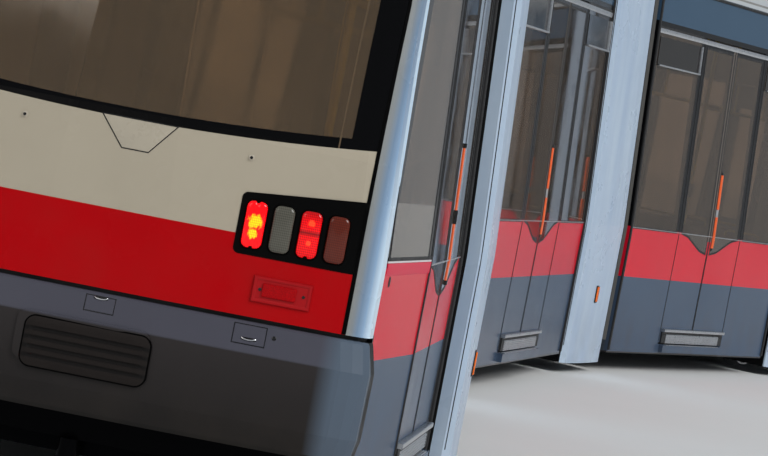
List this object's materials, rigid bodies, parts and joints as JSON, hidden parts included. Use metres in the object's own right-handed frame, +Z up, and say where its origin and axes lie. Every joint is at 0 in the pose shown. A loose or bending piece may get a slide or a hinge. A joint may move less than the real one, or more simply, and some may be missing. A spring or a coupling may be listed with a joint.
{
  "type": "articulated low-floor tram",
  "caption": "Articulated low-floor tram bent in a curve, with portal running gear, full-height windows, right-hand doors and a folded pantograph.",
  "frame": {"origin": "middle of the centre module on the plane under the wheel flanges", "axes": "+X towards the driving end along the centre module, +Y left, +Z up"},
  "size_m": [24.1555, 4.6501, 3.339],
  "materials": {
    "side_paint": "satin",
    "silver_paint": "satin",
    "cream_paint": "gloss",
    "grey_plastic": "matte",
    "glass": "clear",
    "door_paint": "satin",
    "seat_shell": "satin",
    "bellows": "matte",
    "gear_case": "matte",
    "wheel_steel": "satin",
    "lamp": "gloss",
    "pan_frame": "satin",
    "cab_trim": "matte"
  },
  "bodies": {
    "module_1": {"body_1": "side_paint", "doors_1": "door_paint", "glass_1": "glass", "interior_1": "seat_shell", "rear_frame": "silver_paint", "rear_mask": "cream_paint", "rear_screen": "glass", "rear_bumper": "grey_plastic", "rear_lamps": "lamp"},
    "module_2": {"body_2": "side_paint", "doors_2": "door_paint", "glass_2": "glass", "interior_2": "seat_shell"},
    "module_3": {"body_3": "side_paint", "doors_3": "door_paint", "glass_3": "glass", "interior_3": "seat_shell", "pan_base": "pan_frame"},
    "module_4": {"body_4": "side_paint", "doors_4": "door_paint", "glass_4": "glass", "interior_4": "seat_shell"},
    "module_5": {"body_5": "side_paint", "doors_5": "door_paint", "glass_5": "glass", "interior_5": "seat_shell", "front_frame": "silver_paint", "front_mask": "cream_paint", "front_screen": "glass", "front_bumper": "grey_plastic", "front_lamps": "lamp", "cab": "cab_trim"},
    "portal_unit_1": {"portal_1": "silver_paint", "drive_1": "gear_case", "bellows_1": "bellows"},
    "wheel_left_1": {"wheel_1_l": "wheel_steel"},
    "wheel_right_1": {"wheel_1_r": "wheel_steel"},
    "portal_unit_2": {"portal_2": "silver_paint", "drive_2": "gear_case", "bellows_2": "bellows"},
    "wheel_left_2": {"wheel_2_l": "wheel_steel"},
    "wheel_right_2": {"wheel_2_r": "wheel_steel"},
    "portal_unit_3": {"portal_3": "silver_paint", "drive_3": "gear_case", "bellows_3": "bellows"},
    "wheel_left_3": {"wheel_3_l": "wheel_steel"},
    "wheel_right_3": {"wheel_3_r": "wheel_steel"},
    "portal_unit_4": {"portal_4": "silver_paint", "drive_4": "gear_case", "bellows_4": "bellows"},
    "wheel_left_4": {"wheel_4_l": "wheel_steel"},
    "wheel_right_4": {"wheel_4_r": "wheel_steel"},
    "pan_lower_arm": {"pan_lower": "pan_frame"},
    "pan_upper_arm": {"pan_upper": "pan_frame"},
    "pan_bow": {"pan_head": "pan_frame"}
  },
  "joints": [
    {"name": "portal_2_pivot", "type": "hinge", "parent": "module_3", "child": "portal_unit_2", "pos_m": [-2.815, 0, 0.125], "axis": [0, 0, 1], "range_deg": [-15, 5], "deforming": ["bellows_2"]},
    {"name": "module_2_pivot", "type": "hinge", "parent": "portal_unit_2", "child": "module_2", "pos_m": [-2.815, 0, 0.125], "axis": [0, 0, 1], "range_deg": [-15, 5]},
    {"name": "portal_3_pivot", "type": "hinge", "parent": "module_3", "child": "portal_unit_3", "pos_m": [2.815, 0, 0.125], "axis": [0, 0, 1], "range_deg": [-4.5, 15.5], "deforming": ["bellows_3"]},
    {"name": "module_4_pivot", "type": "hinge", "parent": "portal_unit_3", "child": "module_4", "pos_m": [2.815, 0, 0.125], "axis": [0, 0, 1], "range_deg": [-4.5, 15.5]},
    {"name": "portal_4_pivot", "type": "hinge", "parent": "module_4", "child": "portal_unit_4", "pos_m": [8.34156, -1.07425, 0.125], "axis": [0, 0, 1], "range_deg": [-5, 15], "deforming": ["bellows_4"]},
    {"name": "module_5_pivot", "type": "hinge", "parent": "portal_unit_4", "child": "module_5", "pos_m": [8.34156, -1.07425, 0.125], "axis": [0, 0, 1], "range_deg": [-5, 15]},
    {"name": "portal_1_pivot", "type": "hinge", "parent": "module_2", "child": "portal_unit_1", "pos_m": [-8.35947, -0.97764, 0.125], "axis": [0, 0, 1], "range_deg": [-7.75, 12.25], "deforming": ["bellows_1"]},
    {"name": "module_1_pivot", "type": "hinge", "parent": "portal_unit_1", "child": "module_1", "pos_m": [-8.35947, -0.97764, 0.125], "axis": [0, 0, 1], "range_deg": [-7.75, 12.25]},
    {"name": "wheel_left_1_spin", "type": "hinge", "parent": "portal_unit_1", "child": "wheel_left_1", "pos_m": [-8.45892, -0.24688, 0.365], "axis": [-0.1349, 0.9909, 0], "continuous": true},
    {"name": "wheel_right_1_spin", "type": "hinge", "parent": "portal_unit_1", "child": "wheel_right_1", "pos_m": [-8.26001, -1.7084, 0.365], "axis": [-0.1349, 0.9909, 0], "continuous": true},
    {"name": "wheel_left_2_spin", "type": "hinge", "parent": "portal_unit_2", "child": "wheel_left_2", "pos_m": [-2.87928, 0.73469, 0.365], "axis": [-0.0872, 0.9962, 0], "continuous": true},
    {"name": "wheel_right_2_spin", "type": "hinge", "parent": "portal_unit_2", "child": "wheel_right_2", "pos_m": [-2.75072, -0.73469, 0.365], "axis": [-0.0872, 0.9962, 0], "continuous": true},
    {"name": "wheel_left_3_spin", "type": "hinge", "parent": "portal_unit_3", "child": "wheel_left_3", "pos_m": [2.88569, 0.73411, 0.365], "axis": [0.0958, 0.9954, 0], "continuous": true},
    {"name": "wheel_right_3_spin", "type": "hinge", "parent": "portal_unit_3", "child": "wheel_right_3", "pos_m": [2.74431, -0.73411, 0.365], "axis": [0.0958, 0.9954, 0], "continuous": true},
    {"name": "wheel_left_4_spin", "type": "hinge", "parent": "portal_unit_4", "child": "wheel_left_4", "pos_m": [8.54484, -0.36532, 0.365], "axis": [0.2756, 0.9613, 0], "continuous": true},
    {"name": "wheel_right_4_spin", "type": "hinge", "parent": "portal_unit_4", "child": "wheel_right_4", "pos_m": [8.13828, -1.78319, 0.365], "axis": [0.2756, 0.9613, 0], "continuous": true},
    {"name": "pan_raise", "type": "hinge", "parent": "module_3", "child": "pan_lower_arm", "pos_m": [-0.565, 0, 3.165], "axis": [0, -1, 0], "range_deg": [0, 48]},
    {"name": "pan_knee", "type": "hinge", "parent": "pan_lower_arm", "child": "pan_upper_arm", "pos_m": [0.735, 0, 3.19], "axis": [0, 1, 0], "range_deg": [0, 89.76]},
    {"name": "pan_bow_level", "type": "hinge", "parent": "pan_upper_arm", "child": "pan_bow", "pos_m": [-0.395, 0, 3.235], "axis": [0, -1, 0], "range_deg": [0, 41.76]}
  ],
  "couplings": [
    {"joint": "module_2_pivot", "follows": "portal_2_pivot", "ratio": 1},
    {"joint": "module_4_pivot", "follows": "portal_3_pivot", "ratio": 1},
    {"joint": "module_5_pivot", "follows": "portal_4_pivot", "ratio": 1},
    {"joint": "module_1_pivot", "follows": "portal_1_pivot", "ratio": 1},
    {"joint": "pan_knee", "follows": "pan_raise", "ratio": 1.87},
    {"joint": "pan_bow_level", "follows": "pan_raise", "ratio": 0.87}
  ]
}
